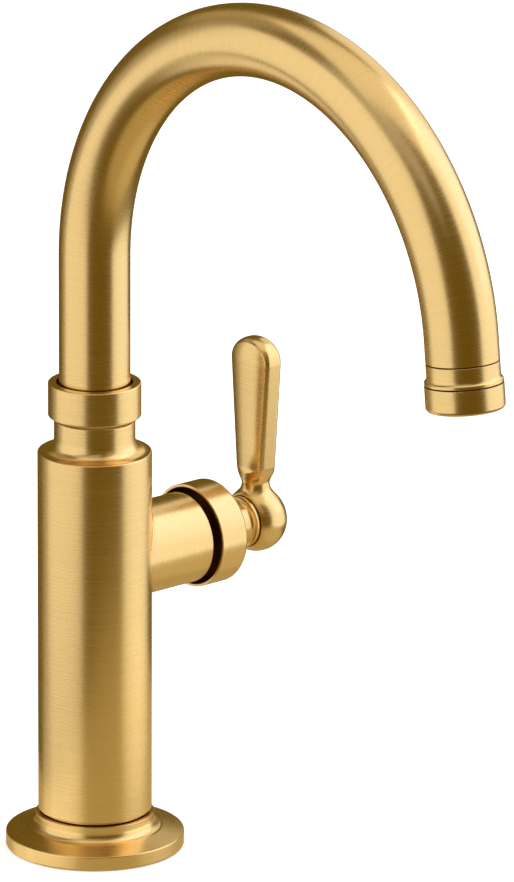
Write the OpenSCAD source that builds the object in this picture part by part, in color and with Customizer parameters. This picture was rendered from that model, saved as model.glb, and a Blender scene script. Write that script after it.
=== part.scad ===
// Gooseneck bar faucet with a swivel spout and a side lever.
// Millimetres. The origin is the centre of the base on the deck, +Z is up,
// the spout reaches towards -Y and the valve branch points along +X.

/* [Deck flange] */
// Diameter of the flange that rests on the deck
flange_d = 64; // [58:1:74]
// Height of the flange's outer edge
flange_edge_h = 5.2; // [4.8:0.1:6]
// Rise of the cone between the outer edge and the foot of the lip
flange_cone_rise = 1.7; // [1.2:0.1:2.2]
// Radius of the sweep from the cone up to the lip
flange_sweep_r = 3.2; // [2:0.2:3.6]
// Height of the lip round the column
flange_lip_h = 12.5; // [12:0.1:14]
// How far the lip stands proud of the column, on the radius
flange_lip_proud = 0.8; // [0.4:0.1:1.4]
// Height of the shadow gap between the lip and the column
shadow_gap = 1; // [0.6:0.1:1.6]

/* [Column] */
// Outer diameter of the column
column_d = 40.8; // [39.6:0.2:44]
// Wall of the column
column_wall = 2.6; // [2.2:0.1:3]
// Rise of the column's shoulder above the branch's axis
column_rise = 41; // [38:0.2:50]
// Radius of the hollow sweep from the shoulder to the neck
cove_r = 5; // [4:0.25:5.5]
// Outer diameter of the neck
neck_d = 29; // [27.6:0.2:30]
// Length of the neck above the shoulder
neck_len = 11.7; // [10:0.1:16]
// Diameter of the swivel bore in the neck
swivel_d = 22; // [21:0.1:22.4]

/* [Valve branch] */
// Height of the branch's axis
branch_h = 106.2; // [98:0.2:108]
// Outer diameter of the branch
branch_d = 33; // [32:0.2:35]
// Reach of the branch from the column's axis
branch_reach = 42.3; // [41.6:0.1:44]

/* [Spout] */
// Outer diameter of the spout tube
tube_d = 25.4; // [24.6:0.1:26]
// Wall of the spout tube
tube_wall = 1.2; // [1:0.1:1.6]
// Radius of the gooseneck, on the tube's centre line
arc_r = 94.8; // [80:0.4:110]
// Height of the gooseneck's centre
arc_h = 219; // [200:1:260]
// Angle through which the tube is bent
arc_sweep = 173.8; // [160:0.2:180]
// Straight run of tube past the bend
tube_run = 7.4; // [6:0.2:14]
// Diameter of the collar that turns with the spout
collar_d = 33.2; // [32:0.2:36]
// Height of the collar
collar_h = 12.4; // [10:0.2:16]
// Thickness of the swivel washer, which shows as the seam under the collar
swivel_washer_t = 1.3; // [0.8:0.1:2]

/* [Outlet] */
// Length of the outlet adapter below the tube
adapter_len = 7.4; // [6.8:0.1:9]
// Diameter of the adapter's lower edge
adapter_d = 27.1; // [26.8:0.1:28]
// Diameter of the aerator housing
aerator_d = 27.3; // [27:0.1:29]
// Length of the aerator housing below the adapter
aerator_len = 8.95; // [8:0.05:11]
// Rounding of the aerator housing's lower edge
aerator_round = 1.6; // [0.8:0.1:2]
// Distance between the aerator's honeycomb cells
cell_pitch = 2.2; // [2:0.1:2.4]
// Wall between two honeycomb cells
cell_wall = 0.4; // [0.3:0.05:0.7]

/* [Cartridge] */
// Diameter of the ceramic cartridge
cartridge_d = 25; // [24.4:0.1:25.2]
// Distance of the cartridge's seat from the column's axis
seat_x = 13; // [12.6:0.1:13.4]
// Diameter of the chamber in which the rotor turns
rotor_bore_d = 20; // [19.6:0.1:20.2]
// Thickness of each ceramic disc
disc_t = 3; // [2.6:0.1:3.2]
// Diameter of the moving disc
moving_disc_d = 16.4; // [16:0.1:16.6]
// Travel of the moving disc between closed and fully open
disc_travel = 3.2; // [3:0.1:3.3]
// Distance from the lever's pivot to its tip in the disc carrier
tip_arm = 7.5; // [7.3:0.1:7.7]
// Diameter of the pivot pin
pin_d = 2.5; // [2:0.1:3]
// Side of the square shank that carries the handle
shank_side = 5.6; // [5:0.1:6]

/* [Handle] */
// Outer diameter of the skirt over the end of the branch
skirt_d = 37.7; // [37:0.1:39]
// Wall of the skirt
skirt_wall = 1.25; // [1:0.05:1.6]
// Open gap between the branch and the skirt
skirt_gap = 2.3; // [2:0.1:3]
// Length of the skirt
skirt_len = 12.6; // [11.6:0.1:14]
// Rounding of the skirt's outer edge
skirt_round = 2.2; // [1:0.1:3]
// Diameter of the stem between the skirt and the hub
stem_d = 15.2; // [14.6:0.1:16.4]
// Length of the stem, with its end disc
stem_len = 13.8; // [13:0.1:16]
// Diameter of the stem's end disc
stem_disc_d = 18.6; // [18:0.1:19.6]
// Diameter of the round hub at the foot of the lever
hub_d = 24; // [22.8:0.2:25.2]
// Radius of the hub's rounding, seen from the side
hub_round = 10.3; // [9.7:0.1:10.7]
// Distance from the hub's flat face to its middle
hub_inset = 5.9; // [5.6:0.1:6.2]
// Diameter of the lever's neck
lever_neck_d = 9.9; // [9.4:0.1:10.6]
// Height of the neck's narrowest place above the branch's axis
lever_neck_h = 13.7; // [13:0.1:15]
// Height of the lever's tip above the branch's axis
lever_h = 68.7; // [60:0.5:80]
// Thickness of the lever's blade
blade_t = 9.6; // [9:0.1:11]
// Width of the blade near its tip
blade_top_w = 19.2; // [17:0.2:22]
// Width of the blade at its foot
blade_foot_w = 13.8; // [13:0.2:16]
// Radius of the blade's rounded edges
blade_edge_r = 3.4; // [2.6:0.1:4.2]

/* [Base fittings] */
// Diameter of the pilot for the fixing stud
stud_hole_d = 6.8; // [6:0.1:7]
// Depth of the stud's hole
stud_hole_depth = 12; // [10:0.5:14]
// Diameter of the pilot for each supply hose
inlet_hole_d = 9; // [8:0.1:9.2]
// Depth of each inlet hole
inlet_hole_depth = 11; // [10:0.5:12]
// Distance from the column's axis to each inlet
inlet_offset = 9; // [8.9:0.1:9.1]
// Outer diameter of each riser pipe
riser_d = 8; // [7:0.1:8.2]
// Wall of each riser pipe
riser_wall = 1; // [0.8:0.1:1.4]

/* [Hidden] */

// Colours of the finishes
GOLD = "#c9a04e";
BRASS = "#b59a55";
COPPER = "#b87348";
STEEL = "#b9bcc0";
CERAMIC = "#e9e6df";
PLASTIC = "#e3e0d6";
GREY_PLASTIC = "#8d9094";
RUBBER = "#26262a";

$fn = 96;
// Overshoot of a cut past the face that it opens
cut = 1;
// Running clearance of a turning fit, on the radius
run_fit = 0.05;
// Clearance of a piece fixed in its seat, on the radius
seat_fit = 0.1;
// Clearance at the flat guides of the cartridge
guide_fit = 0.1;
// Chamfer that shows as a fine line at a seam between two pieces
seam_chamfer = 0.3;
// Rounding of the turned pieces' crisp edges
edge_r = 0.5;
// How much slimmer the tube is past the end of its bend, on the radius
bend_step = 0.05;

// Deck flange and base plug
flange_r = flange_d / 2;
column_r = column_d / 2;
column_bore_r = column_r - column_wall;
lip_r = column_r + flange_lip_proud;
ledge_bottom = 4;
ledge_top = 7;
column_foot_h = flange_lip_h + shadow_gap;
foot_inset = 1.2;
foot_r = column_r - foot_inset;
pocket_r = foot_r + 0.15;
plug_head_r = foot_r - 0.05;
plug_r = column_bore_r - run_fit;
plug_h = 18;
gasket_r = flange_r - 2.6;
gasket_w = 4.9;
gasket_t = 2;
riser_r = riser_d / 2;
riser_foot = inlet_hole_depth + 1.5;
riser_seat_len = 6;

// Valve block
column_h = branch_h + column_rise;
block_r = column_bore_r - seat_fit;
block_above = 22.2;
block_below = 20.2;
block_top = branch_h + block_above;
block_bottom = branch_h - block_below;
block_channel_r = 3;
cross_channel_r = 1.9;
drill_past = 1;
riser_top = block_bottom + riser_seat_len;
mixed_x = -6;
mixed_r = 4;
block_seal_r = 14.1;
block_seal_t = 1.8;

// Neck and spout swivel
neck_h = column_h + neck_len;
neck_r = neck_d / 2;
rim_round = 0.6;
swivel_r = swivel_d / 2;
spigot_r = swivel_r - run_fit;
spigot_bore_r = 7.5;
spigot_gap = 4.6;
spigot_bottom = block_top + spigot_gap;
collar_bottom = neck_h + swivel_washer_t;
collar_r = collar_d / 2;
spigot_flange_r = neck_r - 0.5;
spigot_flange_t = 3;
spigot_socket_len = 22;
tube_r = tube_d / 2;
tube_bore_r = tube_r - tube_wall;
tube_bottom = collar_bottom + spigot_flange_t;
collar_recess_r = tube_r + 1;
collar_recess_depth = 2;
ring_section_r = 1.2;
ring_groove_w = 2.8;
ring_pitch = 7;
screw_inset = 3.4;
screw_h = neck_h - screw_inset;
ring_gap = 9.5;
ring_heights = [screw_h - ring_gap - ring_pitch, screw_h - ring_gap];
screw_r = 1.9;
screw_tip_r = 1.2;
screw_sink = 0.3;
screw_socket_r = 1.1;
screw_socket_depth = 1.5;
swivel_groove_depth = 1.2;
swivel_groove_w = 2 * (screw_tip_r + 0.3);

// Cartridge, measured along the branch from the column's axis
cartridge_r = cartridge_d / 2;
branch_r = branch_d / 2;
branch_bore_r = cartridge_r + 1;
base_t = 4;
seal_t = 1;
seal_rim = 1.3;
fixed_disc_x = seat_x + base_t;
moving_disc_x = fixed_disc_x + disc_t + run_fit;
carrier_x = moving_disc_x + disc_t;
carrier_t = 4;
rotor_x = carrier_x + 0.2;
tip_x = carrier_x + 2.45;
pivot_x = tip_x + tip_arm;
chamber_top_x = pivot_x + 2;
cartridge_top_x = chamber_top_x + 1.5;
shoulder_x = pivot_x - 2;
cartridge_neck_r = cartridge_r - 1.6;
chamber_lip_r = cartridge_neck_r - 2.3;
rotor_r = rotor_bore_d / 2 - run_fit;
fixed_disc_r = rotor_bore_d / 2 - seat_fit;
moving_disc_r = moving_disc_d / 2;
disc_shift = disc_travel / 2;
inlet_port_r = 1.5;
inlet_port = [4.2, 2.6];
outlet_port_r = 2.2;
outlet_port_z = -4.2;
recess_land = 0.1;
recess_depth = disc_t / 2;
recess_margin = 0.6;
carrier_half_w = 6.5;
tip_r = 2.2;
tip_pocket_r = tip_r + 0.1;
tip_neck_r = 1.3;
fork_half_w = 3.05;
fork_half_l = 7;
stem_ball_r = 4.3;
pin_r = pin_d / 2;
pin_half_len = rotor_r - 0.9;
nut_r = branch_bore_r - run_fit;
nut_end_x = branch_reach - 1.8;
nut_slot_w = 3;
nut_slot_depth = 2;

// Handle, measured along the branch from the column's axis
skirt_x = branch_reach + skirt_gap;
skirt_r = skirt_d / 2;
skirt_web_t = 3.5;
skirt_end_x = skirt_x + skirt_len;
skirt_web_x = skirt_end_x - skirt_web_t;
stem_spigot_r = 6.4;
stem_spigot_len = 11.2;
stem_r = stem_d / 2;
stem_disc_r = stem_disc_d / 2;
stem_disc_t = 1.7;
hub_x = skirt_end_x + stem_len;
hub_r = hub_d / 2;
hub_mid_x = hub_x + hub_inset;
shank_half = shank_side / 2;
shank_inset = 5;
shank_end_x = hub_x - shank_inset;
stud_r = 2.5;
stud_start_x = shank_end_x + 1.3;
stud_depth = 7.5;
stud_end_x = hub_x + stud_depth;
stem_screw_x = (skirt_end_x + shank_end_x) / 2 + 0.3;
neck_sweep_r = 5.7;
neck_foot_flare = 2.3;
neck_foot_h = 6;
blade_foot_h = 17.8;
blade_dome_r = blade_top_w / 2 - blade_edge_r;
blade_dome_h = lever_h - blade_top_w / 2;
blade_edge_y = blade_foot_w / 2 - blade_edge_r;
blade_edge_x = blade_t / 2 - blade_edge_r;

// Outlet, measured along the outflow from the end of the bend
adapter_end = tube_run + adapter_len;
adapter_edge_r = adapter_d / 2;
adapter_insert_len = 6.4;
adapter_sweep_r = 2;
adapter_sweep_z = adapter_end - 2.8;
adapter_bore_r = 9;
aerator_pocket = tube_run + 1.6;
aerator_thread_r = tube_r - 0.7;
aerator_r = aerator_d / 2;
aerator_seam = 0.25;
aerator_top = adapter_end + aerator_seam;
aerator_end = aerator_top + aerator_len;
aerator_lip_t = 2;
aerator_bore_r = aerator_thread_r - 1.2;
aerator_mouth_r = aerator_bore_r - 1;
washer_t = 2;
insert_top = aerator_pocket + washer_t;
insert_r = aerator_bore_r - seat_fit;
insert_bore_r = insert_r - 1.9;
grid_t = 2;
grid_end = aerator_end - aerator_lip_t;
grid_top = grid_end - grid_t;
regulator_t = 2.4;
jet_plate_top = insert_top + regulator_t + 0.4;
jet_plate_t = 1.5;
jet_count = 12;
jet_r = 0.6;
jet_ring_r = insert_bore_r - 2;
regulator_bore_r = jet_ring_r - 3.4;

// ---- Shared shapes ----

// Half profile of a turned bar between two heights, rounded at its outer corners
module bar_profile(r, z0, z1, round0 = 0, round1 = 0) {
    difference() {
        translate([0, z0]) square([r, z1 - z0]);
        corner_cut(r, z0, round0, 1);
        corner_cut(r, z1, round1, -1);
    }
}

// What a rounding of radius c removes at the outer corner (r, z); dir points into the bar
module corner_cut(r, z, c, dir) {
    if (c > 0)
        difference() {
            translate([r - c, dir > 0 ? z - cut : z - c]) square([c + cut, c + cut]);
            translate([r - c, z + dir * c]) circle(c);
        }
}

// Chamfered ring section of a groove at a seam, to be cut at radius r and height z
module seam_cut(r, z) {
    translate([r, z]) rotate(45) square(seam_chamfer * sqrt(2), center = true);
}

// Straight hole between two heights
module hole(r, z0, z1) {
    translate([0, 0, z0]) cylinder(r = r, h = z1 - z0);
}

// Lays a shape that was drawn round Z along the branch's axis
module on_branch(x = 0) {
    translate([x, 0, branch_h]) rotate([0, 90, 0]) children();
}

// Turned piece on the branch: its profile holds the radius and the distance from the column
module branch_turned() {
    on_branch() rotate_extrude() children();
}

// Hole along the branch at offsets y and z from its axis
module branch_hole(r, x0, x1, y = 0, z = 0) {
    translate([x0, y, branch_h + z]) rotate([0, 90, 0]) cylinder(r = r, h = x1 - x0);
}

// Places its children at the end of the bend, with +Z along the outflow
module at_outlet() {
    translate([0, arc_r * (cos(arc_sweep) - 1), arc_h + arc_r * sin(arc_sweep)])
        rotate([arc_sweep, 0, 0]) children();
}

// ---- Base ----

module base_flange() {
    lip_foot_r = lip_r + flange_sweep_r;
    cone_top = flange_edge_h + flange_cone_rise;
    color(GOLD) rotate_extrude() difference() {
        union() {
            bar_profile(flange_r, 0, flange_edge_h, edge_r, edge_r);
            polygon([[0, 0], [flange_r - edge_r, 0], [flange_r - edge_r, flange_edge_h],
                     [lip_foot_r, cone_top], [0, cone_top]]);
            difference() {
                square([lip_foot_r, cone_top + flange_sweep_r]);
                translate([lip_foot_r, cone_top + flange_sweep_r]) circle(flange_sweep_r);
            }
            bar_profile(lip_r, 0, flange_lip_h, 0, edge_r / 2);
        }
        translate([0, -cut]) square([pocket_r, ledge_bottom + cut]);
        square([column_bore_r + seat_fit, flange_lip_h]);
        translate([0, ledge_top]) square([foot_r + run_fit, flange_lip_h]);
        translate([gasket_r - gasket_w - seat_fit, -cut])
            square([gasket_w + 2 * seat_fit, gasket_t + cut]);
    }
}

module base_gasket() {
    color(RUBBER) rotate_extrude() translate([gasket_r - gasket_w, 0])
        square([gasket_w, gasket_t]);
}

module base_plug() {
    color(BRASS) difference() {
        rotate_extrude() {
            bar_profile(plug_head_r, 0, ledge_bottom, edge_r, 0);
            bar_profile(plug_r, 0, plug_h, 0, edge_r);
        }
        hole(stud_hole_d / 2, -cut, stud_hole_depth);
        for (side = [-1, 1]) translate([0, side * inlet_offset, 0]) {
            hole(inlet_hole_d / 2, -cut, inlet_hole_depth);
            hole(riser_r - riser_wall, 0, plug_h);
            hole(riser_r + run_fit, riser_foot, plug_h + cut);
        }
    }
}

// Riser pipe from the base plug to the valve block
module riser(side) {
    color(COPPER) translate([0, side * inlet_offset, 0]) difference() {
        hole(riser_r, riser_foot, riser_top);
        hole(riser_r - riser_wall, riser_foot - cut, riser_top + cut);
    }
}

module hot_riser() {
    riser(1);
}

module cold_riser() {
    riser(-1);
}

// ---- Column ----

// Upright column with its neck; the branch's bore enters it on the right
module column() {
    cove_z = column_h + cove_r;
    color(GOLD) difference() {
        rotate_extrude() {
            bar_profile(foot_r, ledge_top, column_foot_h + edge_r, edge_r, 0);
            bar_profile(column_r, column_foot_h, column_h, edge_r, rim_round);
            difference() {
                translate([0, column_foot_h]) square([neck_r + cove_r, cove_z - column_foot_h]);
                translate([neck_r + cove_r, cove_z]) circle(cove_r);
            }
            bar_profile(neck_r, column_h, neck_h, 0, edge_r);
        }
        hole(column_bore_r, ledge_top - cut, block_top);
        hole(swivel_r, block_top - cut, neck_h + cut);
        branch_hole(branch_bore_r, seat_x, branch_reach);
        translate([0, 0, screw_h]) rotate([-90, 0, 0]) hole(screw_r + seat_fit, 0, neck_r + cut);
    }
}

// Short branch brazed on the column's wall, which holds the cartridge
module valve_branch() {
    color(GOLD) difference() {
        branch_turned() difference() {
            bar_profile(branch_r, 0, branch_reach, 0, edge_r);
            square([branch_bore_r, branch_reach + cut]);
        }
        hole(column_r, branch_h - branch_r - cut, branch_h + branch_r + cut);
    }
}

// Grub screw at the back of the neck; its tip runs in the spigot's groove
module spout_screw() {
    tip_y = spigot_r - swivel_groove_depth + screw_sink;
    shank_y = swivel_r + screw_sink;
    head_y = neck_r - screw_sink;
    color(STEEL) translate([0, 0, screw_h]) rotate([-90, 0, 0]) difference() {
        union() {
            hole(screw_tip_r, tip_y, shank_y + edge_r);
            hole(screw_r, shank_y, head_y);
        }
        translate([0, 0, head_y - screw_socket_depth])
            cylinder(r = screw_socket_r, h = screw_socket_depth + cut, $fn = 6);
    }
}

module swivel_washer() {
    color(RUBBER) rotate_extrude() translate([swivel_r + seat_fit, neck_h])
        square([neck_r - 0.8 - swivel_r, swivel_washer_t]);
}

// ---- Waterways in the column ----

module valve_block() {
    port_y = inlet_port[0];
    port_h = branch_h + inlet_port[1];
    color(BRASS) difference() {
        hole(block_r, block_bottom, block_top);
        translate([seat_x, -column_r, block_bottom - cut])
            cube([column_r, column_d, block_top - block_bottom + 2 * cut]);
        for (side = [-1, 1]) {
            translate([0, side * inlet_offset, 0]) {
                hole(riser_r + run_fit, block_bottom - cut, riser_top);
                hole(block_channel_r, riser_top - cut, port_h + cross_channel_r + drill_past);
            }
            translate([0, 0, port_h]) rotate([-90 * side, 0, 0])
                hole(cross_channel_r, port_y - cross_channel_r, inlet_offset);
            branch_hole(inlet_port_r, 0, seat_x + cut, side * port_y, inlet_port[1]);
        }
        branch_hole(outlet_port_r, mixed_x, seat_x + cut, 0, outlet_port_z);
        translate([mixed_x, 0, 0])
            hole(mixed_r, branch_h + outlet_port_z - outlet_port_r - drill_past, block_top + cut);
        rotate_extrude() translate([block_seal_r - block_seal_t / 2, block_top - block_seal_t / 2])
            square([block_seal_t, block_seal_t]);
    }
}

// Ring seal between the block and the ceiling of the column's bore
module block_seal() {
    color(RUBBER) rotate_extrude() translate([block_seal_r - block_seal_t / 2, block_top - block_seal_t / 2])
        square([block_seal_t, block_seal_t / 2]);
}

// ---- Cartridge ----

// Cuts the two inlet ports and the outlet port, enlarged by grow on the radius
module ports(x0, x1, grow = 0) {
    for (side = [-1, 1])
        branch_hole(inlet_port_r + grow, x0, x1, side * inlet_port[0], inlet_port[1]);
    branch_hole(outlet_port_r + grow, x0, x1, 0, outlet_port_z);
}

// Three seals between the valve block's ports and the cartridge
module port_seals() {
    color(RUBBER) difference() {
        ports(seat_x, seat_x + seal_t, seal_rim);
        ports(seat_x - cut, seat_x + seal_t + cut);
    }
}

module cartridge_base() {
    color(GREY_PLASTIC) difference() {
        branch_hole(cartridge_r - seat_fit, seat_x, fixed_disc_x);
        ports(seat_x - cut, seat_x + seal_t, seal_rim + seat_fit);
        ports(seat_x, fixed_disc_x + cut);
    }
}

module fixed_disc() {
    color(CERAMIC) difference() {
        branch_hole(fixed_disc_r, fixed_disc_x, fixed_disc_x + disc_t);
        ports(fixed_disc_x - cut, fixed_disc_x + disc_t + cut);
    }
}

module cartridge_body() {
    color(GREY_PLASTIC) branch_turned() difference() {
        union() {
            bar_profile(cartridge_r, fixed_disc_x, shoulder_x, 0, edge_r);
            bar_profile(cartridge_neck_r, fixed_disc_x, cartridge_top_x, 0, edge_r);
        }
        translate([0, fixed_disc_x - cut])
            square([rotor_bore_d / 2, chamber_top_x - fixed_disc_x + cut]);
        square([chamber_lip_r, cartridge_top_x + cut]);
    }
}

module retaining_nut() {
    color(BRASS) difference() {
        branch_turned() difference() {
            bar_profile(nut_r, shoulder_x, nut_end_x, edge_r, edge_r);
            square([cartridge_neck_r + run_fit, nut_end_x + cut]);
        }
        for (turn = [0 : 60 : 120])
            on_branch(nut_end_x) rotate(turn)
                cube([2 * nut_r + cut, nut_slot_w, 2 * nut_slot_depth], center = true);
    }
}

module cartridge_rotor() {
    color(PLASTIC) difference() {
        branch_hole(rotor_r, rotor_x, chamber_top_x - run_fit);
        on_branch(rotor_x - cut)
            translate([-rotor_bore_d / 2, -carrier_half_w - guide_fit, 0])
                cube([rotor_bore_d, 2 * (carrier_half_w + guide_fit), carrier_t + cut]);
        on_branch(rotor_x)
            translate([-fork_half_l, -fork_half_w, 0])
                cube([2 * fork_half_l, 2 * fork_half_w, cartridge_top_x - rotor_x]);
        translate([pivot_x, 0, branch_h]) rotate([90, 0, 0])
            cylinder(r = pin_r, h = rotor_bore_d + cut, center = true);
    }
}

module pivot_pin() {
    color(STEEL) translate([pivot_x, 0, branch_h]) rotate([90, 0, 0])
        cylinder(r = pin_r, h = 2 * pin_half_len, center = true);
}

// Shallow chamber in the moving disc that joins the inlets to the outlet when it is open
module mixing_recess() {
    port_r = inlet_port_r + recess_land;
    arm_z = inlet_port[1] - disc_shift;
    throat_z = outlet_port_z + disc_shift;
    throat_end_z = throat_z - disc_travel + recess_margin;
    depth = recess_depth + cut;
    translate([moving_disc_x - cut, 0, branch_h - disc_shift]) {
        for (side = [-1, 1]) translate([0, side * inlet_port[0], arm_z])
            rotate([0, 90, 0]) cylinder(r = port_r, h = depth);
        translate([0, -inlet_port[0], arm_z - port_r])
            cube([depth, 2 * inlet_port[0], 2 * port_r - recess_margin]);
        for (z = [throat_z, throat_end_z]) translate([0, 0, z])
            rotate([0, 90, 0]) cylinder(r = outlet_port_r, h = depth);
        translate([0, -outlet_port_r, throat_end_z])
            cube([depth, 2 * outlet_port_r, arm_z - throat_end_z]);
    }
}

module moving_disc() {
    color(CERAMIC) difference() {
        branch_hole(moving_disc_r, moving_disc_x, carrier_x, 0, -disc_shift);
        mixing_recess();
    }
}

// Sliding driver between the lever's tip and the moving disc
module disc_carrier() {
    color(PLASTIC) difference() {
        intersection() {
            branch_hole(moving_disc_r, carrier_x, carrier_x + carrier_t, 0, -disc_shift);
            translate([carrier_x - cut, -carrier_half_w, branch_h - rotor_bore_d])
                cube([carrier_t + 2 * cut, 2 * carrier_half_w, 2 * rotor_bore_d]);
        }
        branch_hole(tip_pocket_r, carrier_x - cut, carrier_x + carrier_t + cut);
    }
}

module cartridge_stem() {
    color(STEEL) difference() {
        union() {
            translate([tip_x, 0, branch_h]) sphere(tip_r);
            branch_hole(tip_neck_r, tip_x, pivot_x);
            intersection() {
                translate([pivot_x, 0, branch_h]) sphere(stem_ball_r);
                translate([pivot_x, 0, branch_h])
                    cube([3 * stem_ball_r, 2 * (fork_half_w - guide_fit), 3 * stem_ball_r], center = true);
            }
            translate([pivot_x, -shank_half, branch_h - shank_half])
                cube([shank_end_x - pivot_x, shank_side, shank_side]);
        }
        translate([pivot_x, 0, branch_h]) rotate([90, 0, 0])
            cylinder(r = pin_r + run_fit, h = rotor_bore_d, center = true);
    }
}

// ---- Handle ----

module handle_skirt() {
    color(GOLD) branch_turned() difference() {
        bar_profile(skirt_r, skirt_x, skirt_end_x, edge_r / 2, skirt_round);
        translate([0, skirt_x - cut]) square([skirt_r - skirt_wall, skirt_web_x - skirt_x + cut]);
        square([stem_spigot_r + run_fit, skirt_end_x + cut]);
    }
}

module handle_stem() {
    sweep_r = stem_disc_r - stem_r;
    sweep_x = hub_x - stem_disc_t - sweep_r;
    color(GOLD) difference() {
        branch_turned() difference() {
            union() {
                bar_profile(stem_spigot_r, skirt_end_x - stem_spigot_len, hub_x, edge_r, 0);
                bar_profile(stem_r, skirt_end_x, hub_x, 0, 0);
                difference() {
                    translate([0, sweep_x]) square([stem_disc_r, sweep_r]);
                    translate([stem_disc_r, sweep_x]) circle(sweep_r);
                }
                bar_profile(stem_disc_r, hub_x - stem_disc_t, hub_x, edge_r, 0);
            }
            seam_cut(stem_disc_r, hub_x);
        }
        translate([skirt_x - skirt_len, -shank_half - run_fit, branch_h - shank_half - run_fit])
            cube([shank_end_x - skirt_x + skirt_len, shank_side + 2 * run_fit, shank_side + 2 * run_fit]);
        branch_hole(stud_r + run_fit, shank_end_x - cut, hub_x + cut);
        translate([stem_screw_x, 0, branch_h - stem_r - cut]) hole(screw_r + seat_fit, 0, stem_r);
    }
}

// Grub screw under the stem that clamps it on the square shank
module stem_screw() {
    foot_z = branch_h - stem_r + screw_sink;
    color(STEEL) translate([stem_screw_x, 0, 0]) difference() {
        hole(screw_r, foot_z, branch_h - shank_half);
        translate([0, 0, foot_z - cut])
            cylinder(r = screw_socket_r, h = screw_socket_depth + cut, $fn = 6);
    }
}

module lever_stud() {
    color(STEEL) branch_hole(stud_r, stud_start_x, stud_end_x);
}

// Turned hub: a round section of radius hub_round set out from the axis
module lever_hub() {
    branch_turned() difference() {
        union() {
            translate([hub_r - hub_round, hub_mid_x]) circle(hub_round);
            translate([0, hub_mid_x - hub_round]) square([hub_r - hub_round, 2 * hub_round]);
        }
        translate([-hub_r, hub_x - hub_r]) square([2 * hub_r, hub_r]);
        translate([-hub_r, hub_x - hub_r]) square([hub_r, 3 * hub_r]);
        seam_cut(hub_r - hub_round + sqrt(hub_round * hub_round - hub_inset * hub_inset), hub_x);
    }
}

// Hollow sweep from the hub up to the lever's narrow neck
module lever_neck() {
    neck_half = lever_neck_d / 2;
    translate([hub_mid_x, 0, branch_h]) rotate_extrude() difference() {
        union() {
            translate([0, neck_foot_h])
                square([neck_half + neck_foot_flare, lever_neck_h - neck_foot_h]);
            translate([0, neck_foot_h])
                square([neck_half, blade_foot_h + blade_edge_r - neck_foot_h]);
        }
        translate([neck_half + neck_sweep_r, lever_neck_h]) circle(neck_sweep_r);
    }
}

// Flat blade with rounded edges, wider at the tip, which ends in a half round
module lever_blade() {
    translate([hub_mid_x, 0, branch_h]) hull() {
        for (x = [-blade_edge_x, blade_edge_x]) {
            for (y = [-blade_edge_y, blade_edge_y])
                translate([x, y, blade_foot_h]) sphere(blade_edge_r, $fn = 32);
            for (turn = [0 : 30 : 180])
                translate([x, blade_dome_r * cos(turn), blade_dome_h + blade_dome_r * sin(turn)])
                    sphere(blade_edge_r, $fn = 32);
        }
    }
}

module lever() {
    color(GOLD) difference() {
        union() {
            lever_hub();
            lever_neck();
            lever_blade();
        }
        branch_hole(stud_r + run_fit, hub_x - cut, stud_end_x + 0.5);
        translate([hub_x - hub_r, -hub_r, branch_h - hub_r]) cube([hub_r, 2 * hub_r, hub_r + lever_neck_h]);
    }
}

// ---- Spout ----

module spout_spigot() {
    top = tube_bottom + spigot_socket_len;
    groove_floor = spigot_r - 2 * ring_section_r - run_fit;
    color(BRASS) rotate_extrude() difference() {
        union() {
            bar_profile(spigot_r, spigot_bottom, collar_bottom, edge_r, 0);
            bar_profile(spigot_flange_r, collar_bottom, tube_bottom);
            bar_profile(tube_bore_r - run_fit, tube_bottom, top, 0, edge_r);
        }
        translate([0, spigot_bottom - cut]) square([spigot_bore_r, top - spigot_bottom + 2 * cut]);
        for (h = ring_heights) translate([groove_floor, h - ring_groove_w / 2])
            square([spigot_r, ring_groove_w]);
        translate([spigot_r - swivel_groove_depth, screw_h - swivel_groove_w / 2])
            square([spigot_r, swivel_groove_w]);
    }
}

module spout_o_rings() {
    color(RUBBER) for (h = ring_heights)
        rotate_extrude() translate([spigot_r - ring_section_r, h]) circle(ring_section_r);
}

module spout_tube() {
    color(GOLD) difference() {
        union() {
            hole(tube_r, tube_bottom, arc_h);
            translate([0, -arc_r, arc_h]) rotate([90, 0, 90])
                rotate_extrude(angle = arc_sweep) translate([arc_r, 0]) circle(tube_r);
            at_outlet() rotate_extrude() difference() {
                bar_profile(tube_r - bend_step, -edge_r, tube_run);
                seam_cut(tube_r, tube_run);
            }
        }
        hole(tube_bore_r, tube_bottom - cut, arc_h);
        translate([0, -arc_r, arc_h]) rotate([90, 0, 90])
            rotate_extrude(angle = arc_sweep) translate([arc_r, 0]) circle(tube_bore_r);
        at_outlet() hole(tube_bore_r - bend_step, -edge_r, tube_run + cut);
    }
}

module spout_collar() {
    top = collar_bottom + collar_h;
    color(GOLD) rotate_extrude() difference() {
        bar_profile(collar_r, collar_bottom, top, edge_r, edge_r);
        translate([0, collar_bottom - cut])
            square([spigot_flange_r + run_fit, spigot_flange_t + cut]);
        square([tube_r + run_fit, top + cut]);
        translate([0, top - collar_recess_depth]) square([collar_recess_r, collar_recess_depth + cut]);
    }
}

// ---- Outlet ----

module outlet_adapter() {
    color(GOLD) at_outlet() rotate_extrude() difference() {
        union() {
            bar_profile(tube_bore_r - run_fit, tube_run - adapter_insert_len, adapter_end, edge_r, 0);
            bar_profile(tube_r, tube_run, adapter_end);
            bar_profile(adapter_edge_r, adapter_sweep_z, adapter_end, 0, edge_r / 2);
        }
        translate([tube_r + adapter_sweep_r, adapter_sweep_z]) circle(adapter_sweep_r);
        seam_cut(tube_r, tube_run);
        square([adapter_bore_r, adapter_end + cut]);
        translate([0, tube_run - adapter_insert_len - cut]) square([adapter_bore_r, adapter_insert_len]);
        translate([0, aerator_pocket]) square([aerator_thread_r + run_fit, adapter_len]);
    }
}

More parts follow.
